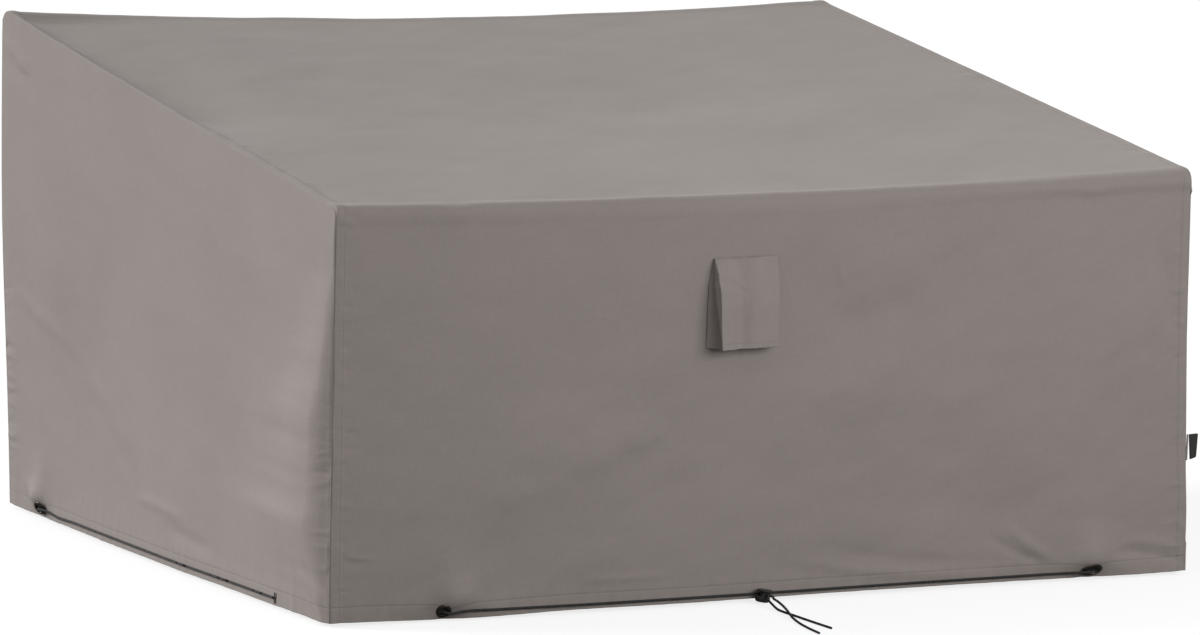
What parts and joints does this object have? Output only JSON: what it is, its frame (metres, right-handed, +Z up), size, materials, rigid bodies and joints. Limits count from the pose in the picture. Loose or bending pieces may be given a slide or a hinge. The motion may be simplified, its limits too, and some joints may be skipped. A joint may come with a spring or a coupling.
{
  "type": "patio furniture cover",
  "caption": "Fitted garden sofa cover with a sloping top, a front vent hood, a drawstring hem run through eyelets to a cord lock, and a bare side tab.",
  "frame": {"origin": "on the ground under the middle of the cover, whose hem hangs about 6 mm above it", "axes": "+X to the right along the front, seen from in front; +Y to the back; +Z up"},
  "size_m": [1.4363, 1.2912, 0.7406],
  "materials": {
    "cloth": "matt coated plain weave, warm grey",
    "tab_cloth": "the same cloth, folded into the seam",
    "cord_black": "matt braided cord",
    "eyelet_metal": "dark gunmetal, satin",
    "lock_plastic": "black moulded plastic",
    "tape_black": "black woven tape and bartack thread"
  },
  "bodies": {
    "cover": {"main_panel": "cloth", "side_panel_left": "cloth", "side_panel_right": "cloth", "vent_hood": "cloth", "tab_strip": "tab_cloth", "tab_tape": "tape_black", "eyelet_front_left": "eyelet_metal", "eyelet_front_right": "eyelet_metal", "eyelet_side_left": "eyelet_metal", "eyelet_side_right": "eyelet_metal", "drawstring_left": "cord_black", "drawstring_right": "cord_black", "drawstring_tail_one": "cord_black", "drawstring_tail_two": "cord_black", "side_cord_left": "cord_black", "side_cord_right": "cord_black", "bartack_left": "tape_black", "bartack_right": "tape_black", "lock_drum": "lock_plastic"},
    "plunger": {"lock_plunger": "lock_plastic"}
  },
  "joints": [
    {"name": "plunger_press", "type": "slide", "parent": "cover", "child": "plunger", "axis": [-0.1392, 0, -0.9903], "range_m": [0, 0.002], "stiffness_N_per_m": 300, "springref_m": -0.004}
  ]
}
